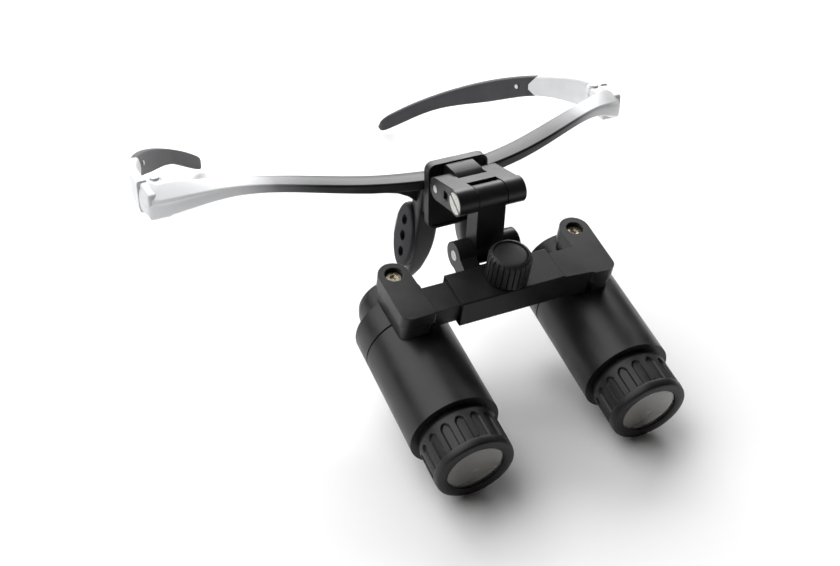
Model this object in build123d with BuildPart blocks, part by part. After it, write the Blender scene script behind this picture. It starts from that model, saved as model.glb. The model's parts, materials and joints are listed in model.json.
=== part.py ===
from build123d import *
from math import acos, ceil, cos, pi, radians, sin, sqrt, tan
import os

os.makedirs("parts", exist_ok=True)

# Dental loupes: two telescopes on a geared crossbar, hung by a two-pivot flip arm from a
# half-rim spectacle frame.  Millimetres.  +X is the wearer's left, +Y is toward the wearer,
# +Z is up.  The origin is the middle of the floor under the loupes as they stand.

# ---------------------------------------------------------------- crossbar
PITCH = 13.86                    # degrees the telescopes look down
CROSSBAR_Y, CROSSBAR_Z = -67.7, 40.9
SLEEVE_LEFT, SLEEVE_RIGHT = -16.2, 15.5
SLEEVE_DEPTH, SLEEVE_HEIGHT = 12.0, 8.7
CHANNEL_HALF = 4.85              # the slide channel through the sleeve
CHANNEL_FLOOR, CHANNEL_ROOF = -7.35, -1.45
SLIDE_GAP = 0.06
RUNNING_GAP = 0.06
SIDE_GAP = 0.15

MODULE = 0.6                     # rack and pinion
PINION_TEETH = 8
PRESSURE_ANGLE = radians(20.0)
PITCH_R = MODULE * PINION_TEETH / 2
TOOTH_PITCH = pi * MODULE
HALF_TOOTH = 0.44 * TOOTH_PITCH / 2
PINION_ADDENDUM, PINION_DEDENDUM = 0.50, 0.45
RACK_ADDENDUM, RACK_DEDENDUM = 0.26, 0.66
RACK_REACH = 14.0
NECK_START, NECK_END, NECK_HALF = 14.6, 5.6, 2.0
SHAFT_R = 1.5
SHAFT_FOOT = -8.0

KNOB_R, KNOB_HEIGHT, KNOB_FLUTES = 6.1, 8.6, 24
KNOB_RIM = 1.2
KNOB_SCREW_R, KNOB_SCREW_HEAD_R = 0.6, 1.4

# ---------------------------------------------------------------- arms over the telescopes
ARM_SLAB = 4.3
LOBE_R = 4.5
SWING_HOLE_R, SWING_HOLE_DEPTH = 2.5, 2.6
SWING_SHANK_R = 1.3
SADDLE_TOP = -4.42
SADDLE_INSET = 0.5

# ---------------------------------------------------------------- flip arm
TILT_Y, TILT_Z, TILT_R, TILT_HALF = 13.18, -1.52, 4.0, 9.6    # in the crossbar's own plane
DROP_HALF, DROP_THICK = 4.4, 6.0
PIVOT_R = 1.5
FLIP_Y, FLIP_Z, FLIP_R, FLIP_HALF = -55.83, 59.94, 3.65, 10.2
REAR_Y, REAR_Z, REAR_R, REAR_HALF = -43.1, 58.1, 3.4, 9.7
REAR_PIN_R = 1.1
LUG_R, LUG_HALF, LUG_CLEAR_R = 4.4, 4.3, 5.7
WEB_FRONT = FLIP_Y + FLIP_R + 0.35

# ---------------------------------------------------------------- bridge plate
PLATE_Y, PLATE_THICK, PLATE_HALF = -38.3, 2.9, 9.5
PLATE_BOTTOM, PLATE_TOP, PLATE_CORNER = 42.1, 62.9, 2.4
BRIDGE_SCREW_X, BRIDGE_SCREW_Z, BRIDGE_SCREW_R = 5.0, 49.6, 1.0
CLAMP_Y, CLAMP_THICK = -27.3, 2.4

# ---------------------------------------------------------------- telescopes
BARREL_DROP = -20.5              # barrel axis below the crossbar's top
BARREL_R, BARREL_BORE_R = 12.75, 10.6
EYEPIECE_BACK, EYEPIECE_FRONT, EYEPIECE_R = -17.2, -10.0, 9.9
EYECUP_SEAT_R, EYECUP_SEAT_LENGTH = 9.3, 2.0
EYEPIECE_BORE_R, EYE_GLASS_R = 8.2, 7.0
HOUSING_FRONT, TUBE_FRONT = -1.5, 29.5
SEAM = 0.5
NOSE_R, NOSE_BORE_R, NOSE_FRONT = 9.35, 8.0, 37.0
RING_BACK, RING_FRONT, RING_R = 31.0, 43.0, 11.1
RING_BORE_R = NOSE_R + RUNNING_GAP
RING_GROOVES = 16
RING_GRIP_R = 10.8
BEZEL_LENGTH = 2.2
GLASS_R, OBJECTIVE_R = 8.0, 8.8
OBJECTIVE_BACK, OBJECTIVE_EDGE, OBJECTIVE_CROWN = 40.0, 42.2, 0.6
PRISM_HALF = 6.0

# ---------------------------------------------------------------- spectacle frame
BROW_Y, BROW_SWEEP, BROW_HALF = -35.33, 32.1, 80.0
BROW_DEPTH = 7.8
LENS_SETBACK, LENS_THICK = 4.0, 2.0
HINGE_X, HINGE_Y, HINGE_R, HINGE_PIN_R = 76.4, 9.3, 2.1, 0.8
HINGE_GAP = 0.2
KNUCKLES = (43.6, 46.4, 49.2, 52.0)
BUTT_Y = 8.6
JOINT_Y, ARROW_Y, JOINT_Z = 42.7, 47.7, 38.6
RIVET_Y = 51.7

# Brow bar: x, then the heights of the top's back edge, the front ridge and the bottom
BROW_STATIONS = [(0, 55.4, 55.8, 52.4), (24, 57.1, 57.5, 54.1), (46, 58.8, 59.0, 56.0),
                 (64, 57.8, 56.8, 52.9), (80, 54.2, 49.8, 43.0)]
# Temple centre line: x, y, z, then the section's width and height
TEMPLE_STATIONS = [(80.3, 10.2, 46.8, 3.4, 10.6), (79.3, 24.2, 43.9, 3.0, 9.6), (75.2, 43.2, 39.0, 2.8, 8.0),
                   (67.2, 64.2, 30.2, 3.4, 8.6), (54.4, 86.2, 19.0, 3.6, 6.2), (41.4, 103.0, 6.0, 3.4, 6.0),
                   (38.2, 106.6, 2.9, 2.6, 5.4)]
LENS_OUTLINE = [(18.0, 53.5), (46, 57.0), (67, 53.6), (77.6, 46.5), (78.8, 32.0), (74.0, 21.6),
                (60.0, 14.6), (42.0, 9.8), (29.5, 10.2), (21.5, 19.0), (17.3, 36.0)]
# Nose leg: z, then centre x, centre y, width and depth
LEG_STATIONS = [(54.0, 6.6, -31.6, 6.4, 6.2), (40.0, 7.4, -30.6, 7.2, 5.6),
                (30.0, 8.6, -29.4, 6.4, 5.0), (21.6, 10.6, -28.0, 3.0, 4.0)]
# Web between the brow bar and the nose leg: x and z
GUSSET_BACK, GUSSET_THICK = -28.0, 3.9
GUSSET = [(8.0, 44.0), (11.0, 49.4), (15.5, 52.2), (25.0, 54.2), (25.0, 55.6), (8.0, 55.6)]

UNIT = Plane(origin=(0, CROSSBAR_Y, CROSSBAR_Z), x_dir=(1, 0, 0),
             z_dir=(0, -sin(radians(PITCH)), cos(radians(PITCH))))
UNIT_SIDE = Plane(origin=UNIT.origin, x_dir=UNIT.y_dir, z_dir=UNIT.x_dir)
TILT_AXIS = UNIT_SIDE.from_local_coords(Vector(TILT_Y, TILT_Z, 0))


class Side:
    """What differs between the telescopes over the wearer's right (-X) and left (+X) eye."""

    def __init__(self, name, sign, axis_x, yaw, hole, corner):
        self.name = name
        self.sign = sign
        self.hole = hole          # swing screw
        self.corner = corner      # front corner of the arm's slab
        self.inner = sign * 24.0  # inner edge of the slab
        forward = UNIT.y_dir * -cos(radians(yaw)) + UNIT.x_dir * sin(radians(yaw))
        self.barrel = Plane(origin=UNIT.from_local_coords(Vector(axis_x, 0, BARREL_DROP)),
                            x_dir=UNIT.z_dir.cross(forward), z_dir=forward)


LEFT = Side("left", -1, -26.8, -1.6, (-29.2, 10.6), (-30.8, -3.4))
RIGHT = Side("right", 1, 27.65, -2.8, (28.1, 10.5), (28.9, -4.7))
SIDES = (LEFT, RIGHT)


def finish(builder, name):
    """Name a finished piece and write its STEP file."""
    builder.part.label = name
    export_step(builder.part, f"parts/{name}.step")


def disc(plane, start, end, radius, bore=0.0, rise=0.0, mode=Mode.ADD):
    """A disc or ring from start to end along the plane's normal, raised by rise in the plane."""
    with BuildSketch(plane.offset(start)) as sketch:
        with Locations((0, rise)):
            Circle(radius)
            if bore:
                Circle(bore, mode=Mode.SUBTRACT)
    extrude(sketch.sketch, amount=end - start, mode=mode)


def bar_along_x(y, z, start, end, radius, plane=Plane.YZ, mode=Mode.ADD):
    """A round bar along X at (y, z)."""
    with BuildSketch(plane.offset(start)) as sketch:
        with Locations((y, z)):
            Circle(radius)
    extrude(sketch.sketch, amount=end - start, mode=mode)


def box(x, y, z, mode=Mode.ADD):
    """A box from three (low, high) ranges."""
    with BuildSketch(Plane.XY.offset(z[0])) as sketch:
        Polygon((x[0], y[0]), (x[1], y[0]), (x[1], y[1]), (x[0], y[1]), align=None)
    extrude(sketch.sketch, amount=z[1] - z[0], mode=mode)


# ---------------------------------------------------------------- crossbar pieces
def sleeve_section(half, low, high, stretch, mode=Mode.ADD):
    with BuildSketch(UNIT_SIDE.offset(stretch[0])) as section:
        Polygon((-half, low), (half, low), (half, high), (-half, high), align=None)
    extrude(section.sketch, amount=stretch[1] - stretch[0], mode=mode)


def make_crossbar_sleeve():
    with BuildPart() as sleeve:
        sleeve_section(SLEEVE_DEPTH / 2, -SLEEVE_HEIGHT, 0, (SLEEVE_LEFT, SLEEVE_RIGHT))
        chamfer(sleeve.edges().filter_by(Axis.X), 0.35)
        web = [(5.5, -7.6), (12.2, -5.3), (12.2, 1.2), (5.5, -1.4)]
        lug_width = TILT_HALF - DROP_HALF - SIDE_GAP
        for start in (-TILT_HALF, TILT_HALF - lug_width):
            with BuildSketch(UNIT_SIDE.offset(start)) as lug:
                with Locations((TILT_Y, TILT_Z)):
                    Circle(TILT_R)
                Polygon(*web, align=None)
            extrude(lug.sketch, amount=lug_width)
        with BuildSketch(UNIT_SIDE.offset(-TILT_HALF)) as apron:
            Polygon((5.5, -7.6), (10.4, -6.2), (8.9, -3.2), (5.5, -1.4), align=None)
        extrude(apron.sketch, amount=2 * TILT_HALF)
        bar_along_x(TILT_Y, TILT_Z, -TILT_HALF, TILT_HALF, PIVOT_R + RUNNING_GAP, UNIT_SIDE, Mode.SUBTRACT)
        sleeve_section(CHANNEL_HALF, CHANNEL_FLOOR, CHANNEL_ROOF, (SLEEVE_LEFT, SLEEVE_RIGHT), Mode.SUBTRACT)
        disc(UNIT, SHAFT_FOOT - RUNNING_GAP, 1, SHAFT_R + RUNNING_GAP, mode=Mode.SUBTRACT)
    finish(sleeve, "crossbar_sleeve")


def involute_half_angle(radius, base_r):
    """Half of a pinion tooth's angle at a radius on or outside the base circle."""
    at_pitch = tan(PRESSURE_ANGLE) - PRESSURE_ANGLE
    here = sqrt((radius / base_r) ** 2 - 1) - acos(base_r / radius)
    return HALF_TOOTH / PITCH_R + at_pitch - here


def make_pinion():
    base_r = PITCH_R * cos(PRESSURE_ANGLE)
    root_r = PITCH_R - PINION_DEDENDUM
    tip_r = PITCH_R + PINION_ADDENDUM
    steps = 4
    flank = [(root_r - 0.1, involute_half_angle(base_r, base_r))]
    for i in range(steps + 1):
        radius = base_r + (tip_r - base_r) * i / steps
        flank.append((radius, involute_half_angle(radius, base_r)))
    tooth = [(r * cos(a), -r * sin(a)) for r, a in flank]
    tooth += [(r * cos(a), r * sin(a)) for r, a in reversed(flank)]
    with BuildPart() as pinion:
        with BuildSketch(UNIT.offset(CHANNEL_FLOOR + SIDE_GAP)) as gear:
            Circle(root_r)
            with PolarLocations(0, PINION_TEETH, start_angle=90):
                Polygon(*tooth, align=None)
        extrude(gear.sketch, amount=CHANNEL_ROOF - CHANNEL_FLOOR - 2 * SIDE_GAP)
        disc(UNIT, SHAFT_FOOT, KNOB_HEIGHT - 2.2, SHAFT_R)
        disc(UNIT, KNOB_HEIGHT - 6.0, KNOB_HEIGHT, KNOB_SCREW_R, mode=Mode.SUBTRACT)
    finish(pinion, "pd_pinion")


def make_knob():
    with BuildPart() as knob:
        disc(UNIT, SIDE_GAP, KNOB_HEIGHT, KNOB_R)
        chamfer(knob.edges().filter_by(GeomType.CIRCLE), 0.4)
        with BuildSketch(UNIT.offset(SIDE_GAP)) as flutes:
            with PolarLocations(KNOB_R, KNOB_FLUTES):
                Rectangle(0.5, 0.42)
        extrude(flutes.sketch, amount=KNOB_HEIGHT - 1.3, mode=Mode.SUBTRACT)
        disc(UNIT, KNOB_HEIGHT - 0.9, KNOB_HEIGHT, KNOB_R - KNOB_RIM, mode=Mode.SUBTRACT)
        disc(UNIT, KNOB_HEIGHT - 2.2, KNOB_HEIGHT, KNOB_SCREW_HEAD_R, mode=Mode.SUBTRACT)
        disc(UNIT, SIDE_GAP, KNOB_HEIGHT, SHAFT_R, mode=Mode.SUBTRACT)
    finish(knob, "pd_knob")
    with BuildPart() as screw:
        disc(UNIT, KNOB_HEIGHT - 6.0, KNOB_HEIGHT - 2.2, KNOB_SCREW_R)
        disc(UNIT, KNOB_HEIGHT - 2.2, KNOB_HEIGHT - 1.0, KNOB_SCREW_HEAD_R)
    finish(screw, "pd_knob_screw")
    with BuildPart() as cap:
        disc(UNIT, KNOB_HEIGHT - 0.9, KNOB_HEIGHT - 0.3, KNOB_R - KNOB_RIM - 0.05)
    finish(cap, "pd_knob_cap")


def rack_outline(first, last, inward):
    """A rack between two x values; its teeth point inward (+1 or -1 in y) and a tooth space
    faces the pinion tooth that stands at x = 0."""
    pitch_line = -inward * PITCH_R
    root = pitch_line - inward * RACK_DEDENDUM
    tip = pitch_line + inward * RACK_ADDENDUM
    back = -inward * (CHANNEL_HALF - SLIDE_GAP)
    at_root = HALF_TOOTH + tan(PRESSURE_ANGLE) * RACK_DEDENDUM
    at_tip = HALF_TOOTH - tan(PRESSURE_ANGLE) * RACK_ADDENDUM
    points = [(first, back), (first, root)]
    middle = (ceil(first / TOOTH_PITCH) + 0.5) * TOOTH_PITCH
    while middle + TOOTH_PITCH / 2 < last:
        points += [(middle - at_root, root), (middle - at_tip, tip), (middle + at_tip, tip), (middle + at_root, root)]
        middle += TOOTH_PITCH
    return points + [(last, root), (last, back)]


def tongue(side):
    """An arm's slide: full width at the sleeve's mouth, then stepped past the other rack."""
    out = side.sign
    inward = out                  # the left arm's rack runs behind the pinion, the right's before it
    wide = CHANNEL_HALF - SLIDE_GAP
    rack_side = -inward * wide
    with BuildSketch(UNIT.offset(CHANNEL_FLOOR + SLIDE_GAP)) as body:
        Polygon((out * 23.6, -wide), (out * 23.6, wide), (out * NECK_START, wide), (out * NECK_START, -wide),
                align=None)
        Polygon((out * NECK_START, rack_side), (out * NECK_END, rack_side),
                (out * NECK_END, inward * NECK_HALF), (out * NECK_START, inward * NECK_HALF), align=None)
        ends = sorted((out * NECK_END, -out * RACK_REACH))
        Polygon(*rack_outline(ends[0], ends[1], inward), align=None)
    extrude(body.sketch, amount=CHANNEL_ROOF - CHANNEL_FLOOR - 2 * SLIDE_GAP)
    with BuildSketch(UNIT.offset(-ARM_SLAB)) as root:
        Polygon((out * 21.5, -wide), (out * 26.0, -wide), (out * 26.0, wide), (out * 21.5, wide), align=None)
    extrude(root.sketch, amount=ARM_SLAB + CHANNEL_ROOF - SLIDE_GAP)


def slab_outline(side, inner, inset):
    """The rounded outline over a telescope: a lobe round the swing hole and two front corners."""
    with Locations(side.hole):
        Circle(LOBE_R - inset)
    with Locations(side.corner):
        Circle(2.9 - inset)
    with Locations((inner, side.corner[1] - 1.9)):
        Circle(0.8)
    make_hull()


def make_arms():
    for side in SIDES:
        with BuildPart() as arm:
            with BuildSketch(UNIT.offset(-ARM_SLAB)) as slab:
                slab_outline(side, side.inner + side.sign * 0.8, 0)
            extrude(slab.sketch, amount=ARM_SLAB)
            if side is RIGHT:
                with BuildSketch(UNIT.offset(-8.2)) as block:
                    Polygon((SLEEVE_RIGHT + RUNNING_GAP, -6.0), (23.2, -6.7), (23.2, 3.9),
                            (SLEEVE_RIGHT + RUNNING_GAP, 3.9), align=None)
                extrude(block.sketch, amount=8.2)
                with BuildSketch(UNIT.offset(-ARM_SLAB)) as joint:
                    Polygon((22.0, -6.6), (26.0, -6.9), (26.0, 3.9), (22.0, 3.9), align=None)
                extrude(joint.sketch, amount=ARM_SLAB)
            tongue(side)
            with Locations(UNIT.offset(0).location * Location((*side.hole, 0))):
                CounterBoreHole(SWING_SHANK_R + RUNNING_GAP, SWING_HOLE_R, SWING_HOLE_DEPTH, ARM_SLAB)
        finish(arm, f"arm_{side.name}")


# ---------------------------------------------------------------- telescopes
def make_saddle(side):
    with BuildPart() as saddle:
        with BuildSketch(UNIT.offset(-10.6)) as block:
            slab_outline(side, side.inner + side.sign * 1.9, SADDLE_INSET)
        extrude(block.sketch, amount=SADDLE_TOP + 10.6)
        disc(side.barrel, EYEPIECE_BACK, TUBE_FRONT, BARREL_R + 0.02, mode=Mode.SUBTRACT)
        with BuildSketch(UNIT.offset(-7.6)) as hole:
            with Locations(side.hole):
                Circle(SWING_SHANK_R)
        extrude(hole.sketch, amount=4, mode=Mode.SUBTRACT)
    finish(saddle, f"saddle_{side.name}")
    with BuildPart() as screw:
        with BuildSketch(UNIT.offset(-7.6)) as shank:
            with Locations(side.hole):
                Circle(SWING_SHANK_R)
        extrude(shank.sketch, amount=7.6 - SWING_HOLE_DEPTH + SIDE_GAP)
        with BuildSketch(UNIT.offset(SIDE_GAP - SWING_HOLE_DEPTH)) as head:
            with Locations(side.hole):
                Circle(SWING_HOLE_R - 0.3)
        extrude(head.sketch, amount=1.2)
        with BuildSketch(UNIT.offset(SIDE_GAP - SWING_HOLE_DEPTH + 0.7)) as socket:
            with Locations(side.hole):
                RegularPolygon(1.1, 6)
        extrude(socket.sketch, amount=1, mode=Mode.SUBTRACT)
    finish(screw, f"swing_screw_{side.name}")


def make_eyepiece(side):
    rise = BARREL_R - EYEPIECE_R
    with BuildPart() as housing:
        disc(side.barrel, EYEPIECE_FRONT, HOUSING_FRONT, BARREL_R)
        disc(side.barrel, EYEPIECE_FRONT + 1.6, HOUSING_FRONT, BARREL_BORE_R, mode=Mode.SUBTRACT)
        disc(side.barrel, EYEPIECE_FRONT, HOUSING_FRONT, EYE_GLASS_R, rise=rise, mode=Mode.SUBTRACT)
    finish(housing, f"rear_housing_{side.name}")
    with BuildPart() as eyepiece:
        disc(side.barrel, EYEPIECE_BACK, EYEPIECE_FRONT, EYECUP_SEAT_R, rise=rise)
        chamfer(eyepiece.edges().filter_by(GeomType.CIRCLE), 0.3)
        disc(side.barrel, EYEPIECE_BACK + EYECUP_SEAT_LENGTH, EYEPIECE_FRONT, EYEPIECE_R, rise=rise)
        disc(side.barrel, EYEPIECE_BACK + 1.2, EYEPIECE_FRONT, EYEPIECE_BORE_R, rise=rise, mode=Mode.SUBTRACT)
        disc(side.barrel, EYEPIECE_BACK, EYEPIECE_FRONT, EYE_GLASS_R, rise=rise, mode=Mode.SUBTRACT)
    finish(eyepiece, f"eyepiece_housing_{side.name}")
    with BuildPart() as lens:
        disc(side.barrel, EYEPIECE_BACK + 1.2, EYEPIECE_BACK + 4.0, EYEPIECE_BORE_R, rise=rise)
    finish(lens, f"eyepiece_lens_{side.name}")
    with BuildPart() as retainer:
        disc(side.barrel, EYEPIECE_BACK + 4.0, EYEPIECE_BACK + 5.2, EYEPIECE_BORE_R, EYE_GLASS_R, rise)
    finish(retainer, f"eyepiece_retainer_{side.name}")


def make_barrel(side):
    with BuildPart() as tube:
        disc(side.barrel, HOUSING_FRONT + SEAM, TUBE_FRONT, BARREL_R)
        disc(side.barrel, HOUSING_FRONT, TUBE_FRONT, BARREL_R - 0.5)
        disc(side.barrel, TUBE_FRONT, NOSE_FRONT, NOSE_R)
        disc(side.barrel, TUBE_FRONT, RING_BACK - 0.4, NOSE_R + 0.8)
        disc(side.barrel, HOUSING_FRONT, TUBE_FRONT - 1.8, BARREL_BORE_R, mode=Mode.SUBTRACT)
        disc(side.barrel, HOUSING_FRONT, NOSE_FRONT, NOSE_BORE_R, mode=Mode.SUBTRACT)
    finish(tube, f"barrel_tube_{side.name}")
    with BuildPart() as holder:
        disc(side.barrel, EYEPIECE_FRONT + 1.6, 9.0, BARREL_BORE_R - 0.04)
        with BuildSketch(side.barrel.offset(EYEPIECE_FRONT + 1.6)) as pocket:
            Rectangle(2 * PRISM_HALF, 2 * PRISM_HALF)
        extrude(pocket.sketch, amount=20, mode=Mode.SUBTRACT)
    finish(holder, f"prism_holder_{side.name}")
    with BuildPart() as prism:
        flank = Plane(origin=side.barrel.origin, x_dir=side.barrel.z_dir, z_dir=side.barrel.x_dir)
        with BuildSketch(flank.offset(-PRISM_HALF)) as profile:
            Polygon((-7.5, -PRISM_HALF), (-1.0, -PRISM_HALF), (7.5, 2.0), (7.5, PRISM_HALF), (-7.5, PRISM_HALF),
                    align=None)
        extrude(profile.sketch, amount=2 * PRISM_HALF)
    finish(prism, f"roof_prism_{side.name}")


def make_focus_ring(side):
    with BuildPart() as ring:
        disc(side.barrel, RING_BACK, RING_FRONT, RING_R)
        chamfer(ring.edges().filter_by(GeomType.CIRCLE), 0.3)
        disc(side.barrel, RING_BACK, RING_FRONT - BEZEL_LENGTH, RING_R + 1, RING_GRIP_R, mode=Mode.SUBTRACT)
        with BuildSketch(side.barrel.offset(RING_BACK + BEZEL_LENGTH)) as grooves:
            with PolarLocations(RING_R, RING_GROOVES):
                Rectangle(1.2, 1.6)
        extrude(grooves.sketch, amount=RING_FRONT - RING_BACK - 2 * BEZEL_LENGTH, mode=Mode.SUBTRACT)
        disc(side.barrel, RING_BACK, OBJECTIVE_BACK, RING_BORE_R, mode=Mode.SUBTRACT)
        disc(side.barrel, RING_BACK, OBJECTIVE_EDGE, OBJECTIVE_R, mode=Mode.SUBTRACT)
        disc(side.barrel, RING_BACK, RING_FRONT, GLASS_R, mode=Mode.SUBTRACT)
    finish(ring, f"focus_ring_{side.name}")
    with BuildPart() as lens:
        section = Plane(origin=side.barrel.origin, x_dir=side.barrel.x_dir, z_dir=side.barrel.y_dir * -1)
        with BuildSketch(section) as profile:
            with BuildLine():
                crown = OBJECTIVE_EDGE + OBJECTIVE_CROWN
                Polyline((0, crown), (0, OBJECTIVE_BACK), (OBJECTIVE_R, OBJECTIVE_BACK),
                         (OBJECTIVE_R, OBJECTIVE_EDGE), (GLASS_R, OBJECTIVE_EDGE))
                RadiusArc((GLASS_R, OBJECTIVE_EDGE), (0, crown), -(GLASS_R ** 2 + OBJECTIVE_CROWN ** 2) / (2 * OBJECTIVE_CROWN))
            make_face()
        revolve(profile.sketch, axis=Axis(side.barrel.origin, side.barrel.z_dir))
    finish(lens, f"objective_lens_{side.name}")
    with BuildPart() as retainer:
        disc(side.barrel, OBJECTIVE_BACK - 1.4, OBJECTIVE_BACK, RING_BORE_R, GLASS_R)
    finish(retainer, f"objective_retainer_{side.name}")


# ---------------------------------------------------------------- flip arm pieces
def make_drop_link():
    half = DROP_THICK / 2
    with BuildPart() as link:
        with BuildSketch(Plane.YZ.offset(-DROP_HALF)) as profile:
            with Locations((TILT_AXIS.Y, TILT_AXIS.Z)):
                Circle(TILT_R)
            with Locations((FLIP_Y, FLIP_Z)):
                Circle(FLIP_R)
            Polygon((TILT_AXIS.Y - half, TILT_AXIS.Z), (TILT_AXIS.Y + half, TILT_AXIS.Z),
                    (FLIP_Y + half, FLIP_Z), (FLIP_Y - half, FLIP_Z), align=None)
        extrude(profile.sketch, amount=2 * DROP_HALF)
        bar_along_x(TILT_AXIS.Y, TILT_AXIS.Z, -DROP_HALF, DROP_HALF, PIVOT_R + RUNNING_GAP, mode=Mode.SUBTRACT)
        bar_along_x(FLIP_Y, FLIP_Z, -DROP_HALF, DROP_HALF, PIVOT_R + RUNNING_GAP, mode=Mode.SUBTRACT)
    finish(link, "drop_link")


def make_flip_link():
    with BuildPart() as link:
        with BuildSketch(Plane.YZ.offset(-REAR_HALF)) as cheek:
            with Locations((REAR_Y, REAR_Z)):
                Circle(REAR_R)
            with Locations((FLIP_Y, FLIP_Z)):
                Circle(FLIP_R)
            make_hull()
        extrude(cheek.sketch, amount=2 * REAR_HALF)
        bar_along_x(FLIP_Y, FLIP_Z, -FLIP_HALF, FLIP_HALF, FLIP_R)
        slot = DROP_HALF + SIDE_GAP
        box((-slot, slot), (FLIP_Y - 5, WEB_FRONT), (FLIP_Z - 6, FLIP_Z + 6), Mode.SUBTRACT)
        rear_slot = LUG_HALF + SIDE_GAP
        bar_along_x(REAR_Y, REAR_Z, -rear_slot, rear_slot, LUG_CLEAR_R, mode=Mode.SUBTRACT)
        with BuildSketch(Plane.YZ.offset(-REAR_HALF)) as window:
            with Locations(((FLIP_Y + REAR_Y) / 2, (FLIP_Z + REAR_Z) / 2)):
                Rectangle(2.4, 2.6)
        extrude(window.sketch, amount=2.0, mode=Mode.SUBTRACT)
        bar_along_x(FLIP_Y, FLIP_Z, -FLIP_HALF, FLIP_HALF - 1, PIVOT_R, mode=Mode.SUBTRACT)
        bar_along_x(FLIP_Y, FLIP_Z, -FLIP_HALF, 1.0 - FLIP_HALF, FLIP_R - 0.5, mode=Mode.SUBTRACT)
        bar_along_x(REAR_Y, REAR_Z, -REAR_HALF, REAR_HALF, REAR_PIN_R, mode=Mode.SUBTRACT)
    finish(link, "flip_link")


def slotted_screw(y, z, start, end, shank_r, head_r, head_length, name):
    """A screw along +X whose slotted head is at the start."""
    with BuildPart() as screw:
        bar_along_x(y, z, start, start + head_length, head_r)
        bar_along_x(y, z, start + head_length, end, shank_r)
        with BuildSketch(Plane.YZ.offset(start)) as slot:
            with Locations((y, z)):
                Rectangle(2 * head_r, head_r * 0.24, rotation=35)
        extrude(slot.sketch, amount=head_length / 2, mode=Mode.SUBTRACT)
    finish(screw, name)


def make_pivots():
    slotted_screw(FLIP_Y, FLIP_Z, -FLIP_HALF, FLIP_HALF - 1, PIVOT_R, FLIP_R - 0.5, 1.0, "flip_screw")
    slotted_screw(TILT_AXIS.Y, TILT_AXIS.Z, -TILT_HALF, TILT_HALF, PIVOT_R, PIVOT_R, 0.6, "tilt_screw")
    with BuildPart() as pin:
        bar_along_x(REAR_Y, REAR_Z, -REAR_HALF - 0.1, REAR_HALF, REAR_PIN_R)
    finish(pin, "rear_pin")
    with BuildPart() as nut:
        bar_along_x(TILT_AXIS.Y, TILT_AXIS.Z, TILT_HALF, TILT_HALF + 0.6, TILT_R - 0.8)
    finish(nut, "tilt_nut")


def make_bridge_plate():
    front = Plane(origin=(0, PLATE_Y, (PLATE_TOP + PLATE_BOTTOM) / 2), x_dir=(1, 0, 0), z_dir=(0, 1, 0))
    height = PLATE_TOP - PLATE_BOTTOM
    with BuildPart() as plate:
        with BuildSketch(front) as face:
            RectangleRounded(2 * PLATE_HALF, height, PLATE_CORNER)
        extrude(face.sketch, amount=PLATE_THICK)
        with BuildSketch(front) as recess:
            RectangleRounded(2 * PLATE_HALF - 1.6, height - 1.6, PLATE_CORNER - 0.8)
        extrude(recess.sketch, amount=0.5, mode=Mode.SUBTRACT)
        with BuildSketch(Plane.YZ.offset(-LUG_HALF)) as lug:
            with Locations((REAR_Y, REAR_Z)):
                Circle(LUG_R)
            Polygon((REAR_Y - 1.8, REAR_Z + LUG_R - 0.4), (REAR_Y - 1.0, REAR_Z + LUG_R), (PLATE_Y + 1, REAR_Z + LUG_R),
                    (PLATE_Y + 1, REAR_Z - LUG_R), (REAR_Y, REAR_Z - LUG_R), align=None)
        extrude(lug.sketch, amount=2 * LUG_HALF)
        bar_along_x(REAR_Y, REAR_Z, -LUG_HALF, LUG_HALF, REAR_PIN_R + RUNNING_GAP, mode=Mode.SUBTRACT)
        add_bridge_holes(Mode.SUBTRACT, PLATE_Y + 1.2, PLATE_Y + PLATE_THICK)
    finish(plate, "bridge_plate")


def add_bridge_holes(mode, start, end, radius=BRIDGE_SCREW_R):
    with BuildSketch(Plane.XZ.offset(-end)) as holes:
        with Locations((-BRIDGE_SCREW_X, BRIDGE_SCREW_Z), (BRIDGE_SCREW_X, BRIDGE_SCREW_Z)):
            Circle(radius)
    extrude(holes.sketch, amount=end - start, mode=mode)


def make_clamp():
    clamp_back = CLAMP_Y + CLAMP_THICK
    with BuildPart() as clamp:
        box((-8, 8), (CLAMP_Y, clamp_back), (46.0, 53.4))
        fillet(clamp.edges().filter_by(Axis.Y), 1.5)
        add_bridge_holes(Mode.SUBTRACT, CLAMP_Y, clamp_back)
    finish(clamp, "bridge_clamp")
    with BuildPart() as screws:
        add_bridge_holes(Mode.ADD, PLATE_Y + 1.2, clamp_back)
        add_bridge_holes(Mode.ADD, clamp_back, clamp_back + 1.0, 1.9)
    finish(screws, "bridge_screws")


# ---------------------------------------------------------------- spectacle frame pieces
def brow_y(x):
    """The brow bar's sweep back from the middle."""
    return BROW_Y + BROW_SWEEP * (x / BROW_HALF) ** 2


def lens_solid(sign):
    """A clear lens: the outline cut out of a curved sheet behind the brow bar's ridge."""
    stations = [0, 20, 40, 60, 84]
    with BuildPart() as lens:
        with BuildSketch(Plane.XY) as sheet:
            with BuildLine():
                front = Spline(*[(sign * x, brow_y(x) + LENS_SETBACK) for x in stations])
                back = Spline(*[(sign * x, brow_y(x) + LENS_SETBACK + LENS_THICK) for x in stations])
                Line(front @ 0, back @ 0)
                Line(front @ 1, back @ 1)
            make_face()
        extrude(sheet.sketch, amount=70)
        with BuildSketch(Plane.XZ.offset(50)) as outline:
            with BuildLine():
                Spline(*[(sign * x, z) for x, z in LENS_OUTLINE], periodic=True)
            make_face()
        extrude(outline.sketch, amount=-100, mode=Mode.INTERSECT)
    return lens


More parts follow.
